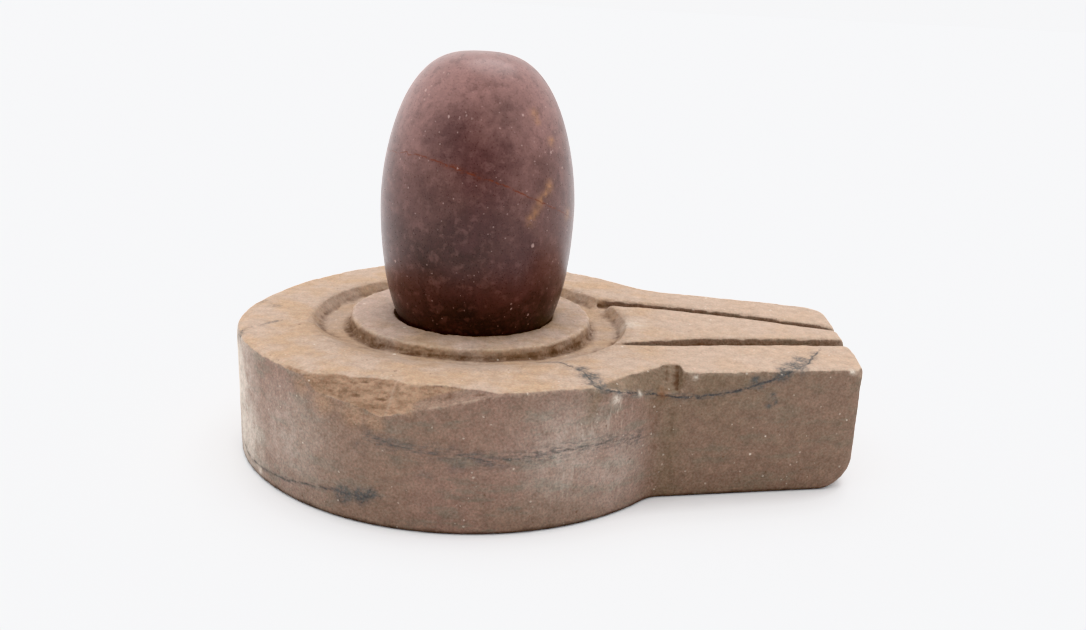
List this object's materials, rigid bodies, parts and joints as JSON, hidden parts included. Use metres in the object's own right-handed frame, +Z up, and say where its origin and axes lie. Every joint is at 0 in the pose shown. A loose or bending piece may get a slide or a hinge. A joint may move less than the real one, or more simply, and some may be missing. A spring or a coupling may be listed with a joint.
{
  "type": "shiva lingam",
  "caption": "Smooth egg-shaped river stone standing upright in the dished socket of a round carved sandstone base, whose moat drains along grooves in a tapering spout.",
  "frame": {"origin": "on the underside, below the centre of the drum, the moat and the seat", "axes": "+X along the spout towards its tip, +Z up along the lingam, -Y towards the side with the two chipped edges"},
  "size_m": [0.1877, 0.1399, 0.1196],
  "materials": {
    "sandstone": "dry, finely grained hand-dressed sandstone, matt, with worn edges and rough chips",
    "river_stone": "hand-polished river stone with a soft sheen"
  },
  "bodies": {
    "root": {"yoni_base": "sandstone", "lingam_stone": "river_stone"}
  },
  "joints": []
}
